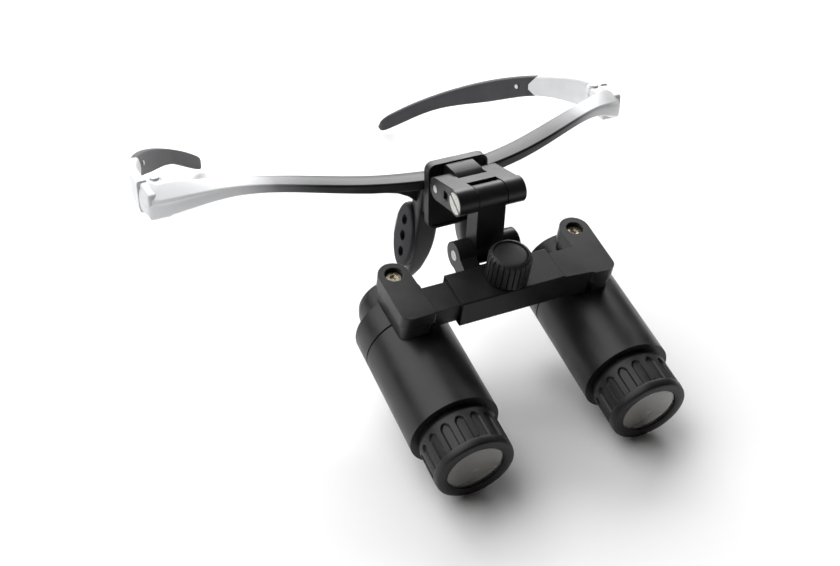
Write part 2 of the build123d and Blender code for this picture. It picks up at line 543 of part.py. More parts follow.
def pad_solid(sign):
    """A slotted rubber nose pad, leaning in at the top and turned to face the nose."""
    face = Plane(origin=(sign * 12.0, -28.2, 36.0), x_dir=(sign * 0.26, 0.95, 0),
                 z_dir=(sign * 0.95, -0.26, 0.16))
    with BuildPart() as pad:
        with BuildSketch(face.offset(-1.4)) as outline:
            Ellipse(4.4, 10.6)
        extrude(outline.sketch, amount=2.8)
        fillet(pad.edges().group_by(SortBy.LENGTH)[-1], 0.9)
        with BuildSketch(face.offset(-2)) as holes:
            with Locations((0, -5.2), (0, 0), (0, 5.2)):
                Ellipse(1.0, 1.6)
        extrude(holes.sketch, amount=4, mode=Mode.SUBTRACT)
    return pad


def brow_bar():
    low_back = 2.4
    mirrored = [(-x, *heights) for x, *heights in reversed(BROW_STATIONS[1:])]
    sections = []
    for x, top, ridge, bottom in mirrored + BROW_STATIONS:
        y = brow_y(x)
        with BuildSketch(Plane.YZ.offset(x)) as section:
            Polygon((y + 0.5, ridge), (y + BROW_DEPTH, top), (y + BROW_DEPTH, bottom + 0.6), (y + low_back, bottom),
                    (y, bottom + 0.7), (y, ridge - 0.7), align=None)
        sections.append(section.sketch)
    loft(sections)


def nose_leg(sign):
    sections = []
    for z, x, y, width, depth in LEG_STATIONS:
        with BuildSketch(Plane(origin=(sign * x, y, z), x_dir=(1, 0, 0), z_dir=(0, 0, 1))) as section:
            RectangleRounded(width, depth, 0.9)
        sections.append(section.sketch)
    loft(sections)


def end_piece(sign):
    """The block behind each end of the brow bar, with the two outer hinge knuckles."""
    with BuildSketch(Plane.XY.offset(KNUCKLES[0])) as block:
        Polygon((sign * 73.5, -2.0), (sign * 80.0, -1.5), (sign * 82.0, 2.5), (sign * 82.0, BUTT_Y),
                (sign * 74.3, BUTT_Y), align=None)
    extrude(block.sketch, amount=KNUCKLES[3] - KNUCKLES[0])
    hinge = Plane(origin=(sign * HINGE_X, HINGE_Y, 0))
    disc(hinge, KNUCKLES[0], KNUCKLES[3], HINGE_R)
    disc(hinge, KNUCKLES[1], KNUCKLES[2], HINGE_R + HINGE_GAP, mode=Mode.SUBTRACT)
    disc(hinge, KNUCKLES[0] - 1, KNUCKLES[3] + 1, HINGE_PIN_R + RUNNING_GAP / 2, mode=Mode.SUBTRACT)


def make_frame_front():
    with BuildPart() as frame:
        brow_bar()
        for sign in (-1, 1):
            nose_leg(sign)
            end_piece(sign)
            with BuildSketch(Plane.XZ.offset(-GUSSET_BACK)) as gusset:
                Polygon(*[(sign * x, z) for x, z in GUSSET], align=None)
            extrude(gusset.sketch, amount=GUSSET_THICK)
        box((-9.4, 9.4), (BROW_Y - 0.02, CLAMP_Y - 0.05), (45.6, 54.5))
        for sign in (-1, 1):
            add(lens_solid(sign).part, mode=Mode.SUBTRACT)
            add(pad_solid(sign).part, mode=Mode.SUBTRACT)
        add_bridge_holes(Mode.SUBTRACT, PLATE_Y, CLAMP_Y + 2)
    finish(frame, "frame_front")


def temple_loft(sign, stations, width=None, height=None):
    """A loft along the temple through upright sections square to its plan curve."""
    sections = []
    last = len(TEMPLE_STATIONS) - 1
    for i in stations:
        before, after = TEMPLE_STATIONS[max(i - 1, 0)], TEMPLE_STATIONS[min(i + 1, last)]
        x, y, z, wide, high = TEMPLE_STATIONS[i]
        along = Vector(sign * (after[0] - before[0]), after[1] - before[1], 0).normalized()
        plane = Plane(origin=(sign * x, y, z), x_dir=Vector(-along.Y, along.X, 0), z_dir=along)
        with BuildSketch(plane) as section:
            RectangleRounded(width or wide, height or high, (width or wide) * 0.3)
        sections.append(section.sketch)
    loft(sections)


def joint_cutter(sign):
    """Everything behind the arrow-shaped joint between temple and rubber tip."""
    far = 120
    with BuildPart() as cutter:
        with BuildSketch(Plane.YZ.offset(sign * 30)) as shape:
            Polygon((JOINT_Y, 70), (JOINT_Y, JOINT_Z + 3.7), (ARROW_Y, JOINT_Z - 0.5), (JOINT_Y, JOINT_Z - 4.2),
                    (JOINT_Y, -10), (far, -10), (far, 70), align=None)
        extrude(shape.sketch, amount=sign * 60)
    return cutter


def make_temples():
    for side in SIDES:
        sign = side.sign
        cutter = joint_cutter(sign).part
        hinge = Plane(origin=(sign * HINGE_X, HINGE_Y, 0))
        rivet_plane = Plane(origin=(sign * 72.2, RIVET_Y, 36.4), x_dir=(0, 0, 1), z_dir=(sign * 0.92, 0.38, 0))
        with BuildPart() as tang:
            temple_loft(sign, range(1, 5), 1.0, 2.6)
        with BuildPart() as temple:
            temple_loft(sign, range(len(TEMPLE_STATIONS)))
            add(cutter, mode=Mode.SUBTRACT)
            box((min(sign * 70, sign * 90), max(sign * 70, sign * 90)), (-5, BUTT_Y + HINGE_GAP), (30, 60),
                Mode.SUBTRACT)
            with BuildSketch(Plane.XY.offset(KNUCKLES[1] + HINGE_GAP)) as leaf:
                Polygon((sign * HINGE_X, HINGE_Y + 0.3), (sign * 79.6, HINGE_Y), (sign * 79.6, HINGE_Y + 4.6),
                        (sign * 78.4, HINGE_Y + 4.6), (sign * HINGE_X, HINGE_Y + HINGE_R), align=None)
            disc(hinge, KNUCKLES[0] - 9, KNUCKLES[3] + 9, HINGE_R + HINGE_GAP, mode=Mode.SUBTRACT)
            extrude(leaf.sketch, amount=KNUCKLES[2] - KNUCKLES[1] - 2 * HINGE_GAP)
            disc(hinge, KNUCKLES[1] + HINGE_GAP, KNUCKLES[2] - HINGE_GAP, HINGE_R)
            disc(hinge, KNUCKLES[1], KNUCKLES[2], HINGE_PIN_R + RUNNING_GAP / 2, mode=Mode.SUBTRACT)
            add(tang.part)
            disc(rivet_plane, -2, 2, 0.8, mode=Mode.SUBTRACT)
        finish(temple, f"temple_{side.name}")
        with BuildPart() as tip:
            temple_loft(sign, range(len(TEMPLE_STATIONS)))
            add(cutter, mode=Mode.INTERSECT)
            add(tang.part, mode=Mode.SUBTRACT)
            disc(rivet_plane, -4, 4, 0.8, mode=Mode.SUBTRACT)
        finish(tip, f"temple_tip_{side.name}")
        with BuildPart() as rivet:
            disc(rivet_plane, -1.7, 1.7, 0.8)
        finish(rivet, f"tip_rivet_{side.name}")
        with BuildPart() as screw:
            disc(hinge, KNUCKLES[0], KNUCKLES[3] + 0.1, HINGE_PIN_R)
            disc(hinge, KNUCKLES[3] + 0.1, KNUCKLES[3] + 0.6, 1.5)
        finish(screw, f"hinge_screw_{side.name}")


make_crossbar_sleeve()
make_pinion()
make_knob()
make_arms()
for telescope in SIDES:
    make_saddle(telescope)
    make_eyepiece(telescope)
    make_barrel(telescope)
    make_focus_ring(telescope)
make_drop_link()
make_flip_link()
make_pivots()
make_bridge_plate()
make_clamp()
make_frame_front()
for telescope in SIDES:
    finish(lens_solid(telescope.sign), f"lens_{telescope.name}")
    finish(pad_solid(telescope.sign), f"nose_pad_{telescope.name}")
make_temples()
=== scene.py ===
import json
from math import cos, pi, radians, sin

import bmesh
import bpy
import numpy as np
from mathutils import Matrix, Vector


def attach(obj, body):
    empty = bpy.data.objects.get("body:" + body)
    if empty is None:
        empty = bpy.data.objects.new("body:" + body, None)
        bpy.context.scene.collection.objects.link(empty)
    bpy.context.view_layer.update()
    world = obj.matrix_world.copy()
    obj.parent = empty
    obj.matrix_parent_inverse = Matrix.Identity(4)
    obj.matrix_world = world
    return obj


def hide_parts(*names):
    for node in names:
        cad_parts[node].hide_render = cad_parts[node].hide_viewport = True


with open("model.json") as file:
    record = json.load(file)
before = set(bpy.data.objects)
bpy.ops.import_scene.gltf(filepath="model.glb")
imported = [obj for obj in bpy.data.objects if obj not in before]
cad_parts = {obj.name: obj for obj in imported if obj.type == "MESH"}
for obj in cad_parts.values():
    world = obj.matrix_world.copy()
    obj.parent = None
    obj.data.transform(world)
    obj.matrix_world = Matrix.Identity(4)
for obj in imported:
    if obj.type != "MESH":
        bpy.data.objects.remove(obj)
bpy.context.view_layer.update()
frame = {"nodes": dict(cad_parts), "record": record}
MM = 0.001
NODES = frame["nodes"]
SLOTS = {part["node"]: part["material_slot"] for part in frame["record"]["subparts"]}
BODIES = {node: body for body, members in frame["record"]["behaviour"]["bodies"].items() for node in members}


# ---------------------------------------------------------------- materials
def shader(name, **inputs):
    """A Principled material; returns the material, its nodes, its links and the shader."""
    material = bpy.data.materials.new(name)
    material.use_nodes = True
    tree = material.node_tree
    principled = tree.nodes["Principled BSDF"]
    for socket, value in inputs.items():
        principled.inputs[socket.replace("_", " ")].default_value = value
    return material, tree.nodes, tree.links, principled


def noise(nodes, links, scale, detail=4.0, stretch=(1, 1, 1)):
    """Noise in object coordinates; scale is in features per metre."""
    place = nodes.new("ShaderNodeTexCoord")
    mapping = nodes.new("ShaderNodeMapping")
    mapping.inputs["Scale"].default_value = stretch
    texture = nodes.new("ShaderNodeTexNoise")
    texture.inputs["Scale"].default_value = scale
    texture.inputs["Detail"].default_value = detail
    links.new(place.outputs["Object"], mapping.inputs["Vector"])
    links.new(mapping.outputs["Vector"], texture.inputs["Vector"])
    return texture.outputs["Fac"]


def spread(nodes, links, fac, low, high):
    """Maps a 0..1 value to low..high."""
    mapped = nodes.new("ShaderNodeMapRange")
    mapped.inputs["From Min"].default_value = 0.3
    mapped.inputs["From Max"].default_value = 0.7
    mapped.inputs["To Min"].default_value = low
    mapped.inputs["To Max"].default_value = high
    links.new(fac, mapped.inputs["Value"])
    return mapped.outputs["Result"]


def tinted(nodes, links, fac, dark, light):
    """A colour between dark and light, chosen by a 0..1 value."""
    ramp = nodes.new("ShaderNodeValToRGB")
    ramp.color_ramp.elements[0].position = 0.3
    ramp.color_ramp.elements[1].position = 0.7
    ramp.color_ramp.elements[0].color = (*dark, 1)
    ramp.color_ramp.elements[1].color = (*light, 1)
    links.new(fac, ramp.inputs["Fac"])
    return ramp.outputs["Color"]


def bumped(nodes, links, principled, height, distance, strength=0.5):
    bump = nodes.new("ShaderNodeBump")
    bump.inputs["Distance"].default_value = distance
    bump.inputs["Strength"].default_value = strength
    links.new(height, bump.inputs["Height"])
    links.new(bump.outputs["Normal"], principled.inputs["Normal"])


def coated_metal(name, dark, light, rough, grain=9000, bump=0.00001):
    """Anodised aluminium: near-black, with a fine blasted grain and faint uneven sheen."""
    material, nodes, links, principled = shader(name, Specular_IOR_Level=0.32)
    cloud = noise(nodes, links, 160)
    fine = noise(nodes, links, grain, 2.0)
    links.new(tinted(nodes, links, cloud, dark, light), principled.inputs["Base Color"])
    links.new(spread(nodes, links, cloud, rough - 0.05, rough + 0.05), principled.inputs["Roughness"])
    bumped(nodes, links, principled, fine, bump, 0.35)
    return material


def bare_metal(name, dark, light, rough):
    """Turned metal with fine brushing."""
    material, nodes, links, principled = shader(name, Metallic=1.0)
    brushed = noise(nodes, links, 1500, 6.0, (1, 6, 6))
    links.new(tinted(nodes, links, brushed, dark, light), principled.inputs["Base Color"])
    links.new(spread(nodes, links, brushed, rough - 0.06, rough + 0.08), principled.inputs["Roughness"])
    bumped(nodes, links, principled, brushed, 0.00001, 0.3)
    return material


def rubber(name, dark, light):
    material, nodes, links, principled = shader(name, Specular_IOR_Level=0.35)
    cloud = noise(nodes, links, 120)
    fine = noise(nodes, links, 7000, 3.0)
    links.new(tinted(nodes, links, cloud, dark, light), principled.inputs["Base Color"])
    links.new(spread(nodes, links, fine, 0.5, 0.62), principled.inputs["Roughness"])
    bumped(nodes, links, principled, fine, 0.00002, 0.4)
    return material


def clear_lens(name, alpha):
    """A thin clear plastic sheet: almost invisible, with a faint uneven haze."""
    material, nodes, links, principled = shader(
        name, Base_Color=(0.93, 0.95, 0.96, 1), Alpha=alpha, IOR=1.5)
    haze = noise(nodes, links, 55)
    links.new(spread(nodes, links, haze, 0.02, 0.06), principled.inputs["Roughness"])
    return material


def pearl(name):
    """Pearl plastic: pale silver with a faint cloudy flake."""
    material, nodes, links, principled = shader(
        name, Roughness=0.42, Specular_IOR_Level=0.35, Coat_Weight=0.06, Coat_Roughness=0.15)
    cloud = noise(nodes, links, 220)
    fine = noise(nodes, links, 9000, 2.0)
    flake = tinted(nodes, links, cloud, (0.63, 0.635, 0.645), (0.67, 0.675, 0.685))
    links.new(flake, principled.inputs["Base Color"])
    bumped(nodes, links, principled, fine, 0.000008, 0.25)
    return material


def glass_coating_and_painted_shade(name):
    """Objective glass: an olive coating tint over a dark base colour, painted shade that stands in for the unlit
    inside of the barrel seen through the glass.
    """
    material, nodes, links, principled = shader(
        name, Roughness=0.07, Metallic=0.0, Coat_Weight=1.0, Coat_Roughness=0.03, Specular_IOR_Level=0.8)
    cloud = noise(nodes, links, 70, 1.0)
    # painted shade: the dark base colour stands in for the shaded inside of the barrel; only the olive tint is the
    # coating's own
    coating_and_shade = tinted(nodes, links, cloud, (0.09, 0.086, 0.074), (0.17, 0.163, 0.142))
    links.new(coating_and_shade, principled.inputs["Base Color"])
    return material


def fading_shell(name, fade_start, fade_end):
    """The frame's paint: satin black at the bridge, fading along the bar to pearl."""
    material, nodes, links, principled = shader(
        name, Roughness=0.42, Specular_IOR_Level=0.35, Coat_Weight=0.06, Coat_Roughness=0.15)
    place = nodes.new("ShaderNodeTexCoord")
    split = nodes.new("ShaderNodeSeparateXYZ")
    side = nodes.new("ShaderNodeMath")
    side.operation = "ABSOLUTE"
    fade = nodes.new("ShaderNodeMapRange")
    fade.interpolation_type = "SMOOTHSTEP"
    fade.inputs["From Min"].default_value = fade_start * MM
    fade.inputs["From Max"].default_value = fade_end * MM
    ramp = nodes.new("ShaderNodeValToRGB")
    ramp.color_ramp.elements[0].color = (0.010, 0.010, 0.011, 1)
    ramp.color_ramp.elements[1].color = (0.65, 0.655, 0.665, 1)
    middle = ramp.color_ramp.elements.new(0.5)
    middle.color = (0.16, 0.16, 0.17, 1)
    links.new(place.outputs["Object"], split.inputs["Vector"])
    links.new(split.outputs["X"], side.inputs[0])
    links.new(side.outputs["Value"], fade.inputs["Value"])
    links.new(fade.outputs["Result"], ramp.inputs["Fac"])
    links.new(ramp.outputs["Color"], principled.inputs["Base Color"])
    fine = noise(nodes, links, 9000, 2.0)
    bumped(nodes, links, principled, fine, 0.000008, 0.25)
    return material


BLACK_METAL = coated_metal("black_metal", (0.010, 0.010, 0.010), (0.017, 0.017, 0.017), 0.38)
BLACK_MATTE = coated_metal("black_matte", (0.010, 0.010, 0.010), (0.018, 0.018, 0.018), 0.45)
STEEL = bare_metal("bright_steel", (0.40, 0.39, 0.375), (0.62, 0.61, 0.58), 0.3)
BRASS = bare_metal("brass_screw", (0.62, 0.52, 0.36), (0.85, 0.78, 0.62), 0.24)
RUBBER = rubber("soft_rubber", (0.026, 0.026, 0.030), (0.038, 0.038, 0.044))
LENS = clear_lens("clear_lens", 0.07)
# painted edge line: a more opaque copy of the lens material, standing in for the faint line light shows along the cut
# edge
LENS_EDGE = clear_lens("lens_edge", 0.35)
GLASS = glass_coating_and_painted_shade("optical_glass")
FRAME_PAINT = fading_shell("frame_shell", 36, 62)
PEARL = pearl("pearl_shell")
MATERIALS = {"black_metal": BLACK_METAL, "black_matte": BLACK_MATTE, "bright_steel": STEEL,
             "brass_screw": BRASS, "soft_rubber": RUBBER, "clear_lens": LENS, "optical_glass": GLASS,
             "frame_shell": FRAME_PAINT, "pearl_shell": PEARL}


# ---------------------------------------------------------------- the crossbar's own frame
PITCH = radians(13.86)
UNIT_ORIGIN = Vector((0, -67.7, 40.9))
ACROSS = Vector((1, 0, 0))
REARWARD = Vector((0, cos(PITCH), sin(PITCH)))
NORMAL = Vector((0, -sin(PITCH), cos(PITCH)))
BARREL_DROP = -20.5
BARRELS = {"left": (-26.8, radians(-1.6)), "right": (27.65, radians(-2.8))}


def barrel_frame(side):
    """A telescope's axis: origin, two directions across it, and forward."""
    axis_x, yaw = BARRELS[side]
    forward = REARWARD * -cos(yaw) + ACROSS * sin(yaw)
    origin = UNIT_ORIGIN + ACROSS * axis_x + NORMAL * BARREL_DROP
    return origin, NORMAL.cross(forward), NORMAL, forward


# ---------------------------------------------------------------- mesh helpers
def natural_spline(stations):
    """A smooth curve through the stations, as a function of 0..1 along them."""
    points = np.array(stations, float)
    steps = np.linalg.norm(np.diff(points[:, :3], axis=0), axis=1)
    knots = np.concatenate([[0], np.cumsum(steps)]) / steps.sum()
    gaps = np.diff(knots)
    count = len(points)
    system, right = np.eye(count), np.zeros_like(points)
    for i in range(1, count - 1):
        system[i, i - 1:i + 2] = gaps[i - 1], 2 * (gaps[i - 1] + gaps[i]), gaps[i]
        right[i] = 6 * ((points[i + 1] - points[i]) / gaps[i] - (points[i] - points[i - 1]) / gaps[i - 1])
    bends = np.linalg.solve(system, right)

    def at(t):
        i = int(np.clip(np.searchsorted(knots, t) - 1, 0, count - 2))
        gap, after, before = gaps[i], t - knots[i], knots[i + 1] - t
        return (bends[i] * before ** 3 / (6 * gap) + bends[i + 1] * after ** 3 / (6 * gap)
                + (points[i] / gap - bends[i] * gap / 6) * before
                + (points[i + 1] / gap - bends[i + 1] * gap / 6) * after)
    return at


def ease(low, high, value):
    """0 below low, 1 above high, smooth between."""
    t = min(1.0, max(0.0, (value - low) / (high - low)))
    return t * t * (3 - 2 * t)


def rounded(corners, steps=4):
    """A closed outline from (u, v, radius) corners, each eased by a small curve."""
    outline = []
    count = len(corners)
    for i, (u, v, radius) in enumerate(corners):
        here = Vector((u, v))
        ends = []
        for other in (corners[i - 1], corners[(i + 1) % count]):
            way = Vector(other[:2]) - here
            ends.append(here + way.normalized() * min(radius, way.length * 0.45))
        for k in range(steps + 1):
            t = k / steps
            outline.append(ends[0] * (1 - t) ** 2 + here * 2 * t * (1 - t) + ends[1] * t ** 2)
    return outline


def skin(shape, rings, closed=False):
    """Quads between rings of points; the ends are capped unless the loft closes on itself."""
    rows = [[shape.verts.new(Vector(p) * MM) for p in ring] for ring in rings]
    count = len(rows[0])
    pairs = zip(rows, rows[1:] + rows[:1]) if closed else zip(rows, rows[1:])
    for low, high in pairs:
        for i in range(count):
            j = (i + 1) % count
            shape.faces.new((low[i], low[j], high[j], high[i]))
    if not closed:
        shape.faces.new(list(reversed(rows[0])))
        shape.faces.new(rows[-1])


def bevelled_box(shape, low, high, width):
    made = bmesh.ops.create_cube(shape, size=1)["verts"]
    for vert in made:
        vert.co = Vector([(low[i] + (high[i] - low[i]) * (vert.co[i] + 0.5)) * MM for i in range(3)])
    edges = {edge for vert in made for edge in vert.link_edges}
    bmesh.ops.bevel(shape, geom=list(edges), offset=width * MM, segments=3, profile=0.5, affect="EDGES")


def finished(name, shape, material, angle=40):
    """The bmesh as a scene object with outward normals and smooth shading."""
    bmesh.ops.recalc_face_normals(shape, faces=shape.faces)
    mesh = bpy.data.meshes.new(name)
    shape.to_mesh(mesh)
    shape.free()
    mesh.materials.append(material)
    piece = bpy.data.objects.new(name, mesh)
    bpy.context.scene.collection.objects.link(piece)
    smooth(mesh, angle)
    return piece


def stand_for(piece, *nodes):
    """A new piece rides where its CAD nodes ride and is shown in their place."""
    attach(piece, BODIES[nodes[0]])
    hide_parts(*nodes)


def smooth(mesh, angle=35):
    """Smooth shading with sharp edges above the angle."""
    mesh.shade_smooth()
    mesh.set_sharp_from_angle(angle=radians(angle))


def apply_modifiers(piece):
    bpy.context.view_layer.update()
    graph = bpy.context.evaluated_depsgraph_get()
    mesh = bpy.data.meshes.new_from_object(piece.evaluated_get(graph))
    piece.modifiers.clear()
    piece.data = mesh


def softened(node, width, material=None):
    """The CAD node's own shape with its sharp edges broken, as a machined part's are."""
    mesh = NODES[node].data.copy()
    mesh.materials.clear()
    mesh.materials.append(material or MATERIALS[SLOTS[node]])
    shape = bmesh.new()
    shape.from_mesh(mesh)
    bmesh.ops.remove_doubles(shape, verts=shape.verts, dist=0.000002)
    bmesh.ops.dissolve_limit(shape, angle_limit=radians(0.6), verts=shape.verts, edges=shape.edges)
    shape.to_mesh(mesh)
    shape.free()
    piece = bpy.data.objects.new(f"{node}_body", mesh)
    bpy.context.scene.collection.objects.link(piece)
    bevel = piece.modifiers.new("edges", "BEVEL")
    bevel.width = width * MM
    bevel.segments = 2
    bevel.limit_method = "ANGLE"
    bevel.angle_limit = radians(32)
    bevel.use_clamp_overlap = True
    bevel.harden_normals = True
    smooth(mesh)
    apply_modifiers(piece)
    stand_for(piece, node)
    return piece


def lathe(name, frame_axes, profile, around, radius_at, material, angle=40):
    """A closed profile of (radius, height) turned about an axis; radius_at may shape it by angle."""
    origin, side, up, axis = frame_axes
    shape = bmesh.new()
    rings = []
    for radius, height in profile:
        ring = []
        for k in range(around):
            turn = 2 * pi * k / around
            r = radius_at(radius, height, turn)
            ring.append(origin + (side * cos(turn) + up * sin(turn)) * r + axis * height)
        rings.append(ring)
    skin(shape, rings, closed=True)
    return finished(name, shape, material, angle)


# ---------------------------------------------------------------- knob
KNOB_R, KNOB_HEIGHT, KNOB_FLUTES, KNOB_RIM = 6.1, 8.6, 24, 1.2


def make_knob():
    """Ribbed sides with scalloped gaps that run out over the rounded rim, and a dished cap."""
    axes = (UNIT_ORIGIN, ACROSS, REARWARD, NORMAL)
    inner = KNOB_R - KNOB_RIM
    profile = [(1.6, 0.15), (KNOB_R - 0.5, 0.15), (KNOB_R - 0.12, 0.3), (KNOB_R, 0.6)]
    profile += [(KNOB_R, 0.6 + 6.6 * k / 12) for k in range(1, 13)]
    profile += [(KNOB_R - 0.07, 7.5), (KNOB_R - 0.25, 7.9), (KNOB_R - 0.5, 8.25), (KNOB_R - 0.8, 8.5),
                (inner, KNOB_HEIGHT)]
    profile += [(inner - 0.1, KNOB_HEIGHT - 0.08), (inner - 0.15, KNOB_HEIGHT - 0.9), (1.6, KNOB_HEIGHT - 0.9)]

    def fluted(radius, height, turn):
        if radius < KNOB_R - 0.6 or height > 8.4:
            return radius
        wave = abs(sin(turn * KNOB_FLUTES / 2))
        gap = 1 - ease(0.0, 0.42, wave)
        return radius - 0.5 * gap * ease(0.2, 0.9, height) * (1 - 0.6 * ease(7.4, 8.4, height))

    knob = lathe("knob_ribbed", axes, profile, KNOB_FLUTES * 16, fluted, BLACK_MATTE, 50)
    stand_for(knob, "pd_knob")
    top = KNOB_HEIGHT
    cap = lathe("knob_cap", axes, [(0.02, top - 0.22), (2.6, top - 0.24), (4.2, top - 0.3), (inner - 0.35, top - 0.36),
                                   (inner - 0.2, top - 0.5), (inner - 0.2, top - 0.9), (0.02, top - 0.9)],
                96, lambda radius, height, turn: radius, BLACK_MATTE, 50)
    stand_for(cap, "pd_knob_cap")


# ---------------------------------------------------------------- focus rings
RING_BACK, RING_FRONT, RING_R, RING_GROOVES = 31.0, 43.0, 11.1, 16
RING_BORE_R, GLASS_R, GLASS_SEAT = 9.41, 8.0, 40.0
GROOVE_START, GROOVE_END, GROOVE_DEPTH = 32.7, 40.5, 0.6


def make_focus_ring(side):
    """Broad scalloped grooves with rounded rear ends, open at the front under a plain bezel."""
    steps = 18
    profile = [(RING_BORE_R, RING_BACK), (RING_R - 0.5, RING_BACK), (RING_R - 0.1, RING_BACK + 0.15),
               (RING_R, RING_BACK + 0.5), (RING_R, GROOVE_START - 0.2)]
    run = GROOVE_END - GROOVE_START
    profile += [(RING_R, GROOVE_START + run * (k / steps) ** 1.5) for k in range(steps + 1)]
    profile += [(RING_R - 0.02, GROOVE_END + 0.06), (RING_R, GROOVE_END + 0.12), (RING_R, 41.4), (RING_R - 0.12, 42.4),
                (RING_R - 0.3, 42.8), (RING_R - 0.62, RING_FRONT), (GLASS_R + 0.75, RING_FRONT),
                (GLASS_R + 0.1, 42.75), (GLASS_R, 42.4), (GLASS_R, GLASS_SEAT), (RING_BORE_R, GLASS_SEAT)]

    def grooved(radius, height, turn):
        if radius < RING_R - 0.01 or not GROOVE_START <= height <= GROOVE_END:
            return radius
        offset = abs((turn * RING_GROOVES / (2 * pi)) % 1 - 0.5) * 2
        half = 0.62 * min(1.0, ((height - GROOVE_START) / 1.3) ** 0.5)
        return radius - GROOVE_DEPTH * (1 - ease(half - 0.14, half + 0.02, offset))

    ring = lathe(f"focus_ring_{side}_ribbed", barrel_frame(side), profile, RING_GROOVES * 24, grooved,
                 BLACK_MATTE, 38)
    stand_for(ring, f"focus_ring_{side}")


# ---------------------------------------------------------------- spectacle frame
# Half of the brow bar from the middle to the hinge: x, front y, turn of the section in degrees,
# depth, then the heights of the top's back edge, the ridge and the bottom, and how far the end panel stands out
BAR_STATIONS = [(0, -35.33, 0, 7.8, 55.4, 55.8, 52.4, 0), (24, -32.44, 13.5, 7.5, 57.1, 57.5, 54.1, 0),
                (46, -24.72, 24.8, 7.0, 58.8, 59.0, 56.0, 0), (62, -16.05, 32, 6.5, 58.2, 57.6, 53.7, 0.1),
                (73, -8.6, 36, 6.2, 56.6, 53.8, 48.4, 0.3), (79.0, -3.0, 50, 5.7, 55.0, 51.0, 44.6, 0.35),
                (81.4, 2.2, 76, 4.6, 53.8, 50.0, 43.2, 0.3), (81.8, 8.5, 90, 3.6, 52.6, 49.6, 42.4, 0.1)]
LEG_STATIONS = [(54.0, 6.6, -31.6, 6.4, 6.2), (47.0, 6.9, -31.2, 6.9, 6.0), (40.0, 7.4, -30.6, 7.2, 5.6),
                (30.0, 8.6, -29.4, 6.4, 5.0), (21.6, 10.6, -28.0, 3.0, 3.6)]
GUSSET = [(8.0, 46.0), (10.4, 48.6), (12.6, 50.6), (16.0, 52.4), (20.0, 53.5), (25.0, 54.4), (25.0, 55.6),
          (8.0, 55.6)]
GUSSET_LAYERS = [(-28.2, 0.3), (-28.5, 0.0), (-31.4, 0.0), (-31.8, 0.3)]
HINGE_BLOCK_X, HINGE_BLOCK_Y = (74.3, 81.2), (-1.0, 8.5)
BRIDGE_BLOCK = (-9.4, -35.3, 45.6), (9.4, -27.4, 54.5)
HINGE_X, HINGE_Y, HINGE_R = 76.4, 9.3, 2.1
KNUCKLES, KNUCKLE_GAP = (43.6, 46.4, 49.2, 52.0), 0.2


def bar_section(station, sign):
    x, y, turn, depth, top, ridge, bottom, panel = station
    inward = Vector((-sign * sin(radians(turn)), cos(radians(turn)), 0))
    tall = ridge - bottom
    outline = rounded([(0.35, ridge, 0.35), (depth * 0.55, (top + ridge) / 2 + 0.25, 1.5), (depth, top - 0.2, 0.9),
                       (depth, bottom + 0.7, 0.7), (depth * 0.4, bottom, 0.8), (0.1, bottom + 0.5, 0.6),
                       (-panel * 0.9, bottom + tall * 0.42, 0.8), (-panel * 0.6, bottom + tall * 0.74, 0.2),
                       (panel * 0.9, bottom + tall * 0.84, 0.2)], 5)
    start = Vector((sign * x, y, 0))
    return [start + inward * p.x + Vector((0, 0, p.y)) for p in outline]


def drum(shape, x, y, low, high, radius, around=40):
    rings = [[(x + r * cos(2 * pi * k / around), y + r * sin(2 * pi * k / around), z) for k in range(around)]
             for r, z in ((radius - 0.15, low), (radius, low + 0.15), (radius, high - 0.15), (radius - 0.15, high))]
    skin(shape, rings)


def make_frame_front():
    shape = bmesh.new()
    half = natural_spline(BAR_STATIONS)
    steps = 70
    sections = [bar_section(half(1 - k / steps), -1) for k in range(steps)]
    sections += [bar_section(half(k / steps), 1) for k in range(steps + 1)]
    skin(shape, sections)
    for sign in (-1, 1):
        leg = natural_spline([(x, y, z, wide, deep) for z, x, y, wide, deep in LEG_STATIONS])
        rings = []
        for k in range(25):
            x, y, z, wide, deep = leg(k / 24)
            shrink = 1 - 0.35 * ease(0.93, 1.0, k / 24)
            u, v = wide / 2 * shrink, deep / 2 * shrink
            rings.append([(sign * x + p.x, y + p.y, z) for p in
                          rounded([(-u, -v, 1.3), (u, -v, 1.3), (u, v, 1.3), (-u, v, 1.3)], 5)])
        skin(shape, rings)
        skin(shape, [[(sign * x, y, z + inset) for x, z in GUSSET] for y, inset in GUSSET_LAYERS])
        block_x = [sign * x for x in HINGE_BLOCK_X]
        bevelled_box(shape, *sorted_box(block_x, HINGE_BLOCK_Y, (KNUCKLES[0], KNUCKLES[3])), 0.9)
        for low, high in ((KNUCKLES[0], KNUCKLES[1]), (KNUCKLES[2], KNUCKLES[3])):
            drum(shape, sign * HINGE_X, HINGE_Y, low, high, HINGE_R)
    bevelled_box(shape, *BRIDGE_BLOCK, 1.0)
    frame_piece = finished("frame_front_moulding", shape, FRAME_PAINT, 50)
    stand_for(frame_piece, "frame_front")


def sorted_box(x, y, z):
    ranges = [sorted(pair) for pair in (x, y, z)]
    return tuple(r[0] for r in ranges), tuple(r[1] for r in ranges)


TEMPLE_STATIONS = [(80.3, 8.9, 46.9, 3.4, 10.6), (79.3, 24.2, 43.9, 3.0, 9.6), (75.2, 43.2, 39.0, 2.8, 8.0),
                   (67.2, 64.2, 30.2, 3.4, 8.6), (54.4, 86.2, 19.0, 3.6, 6.2), (41.4, 103.0, 6.0, 3.4, 6.0),
                   (38.2, 106.6, 2.9, 2.6, 5.4)]
JOINT_START, ARROW = 42.7, 5.0


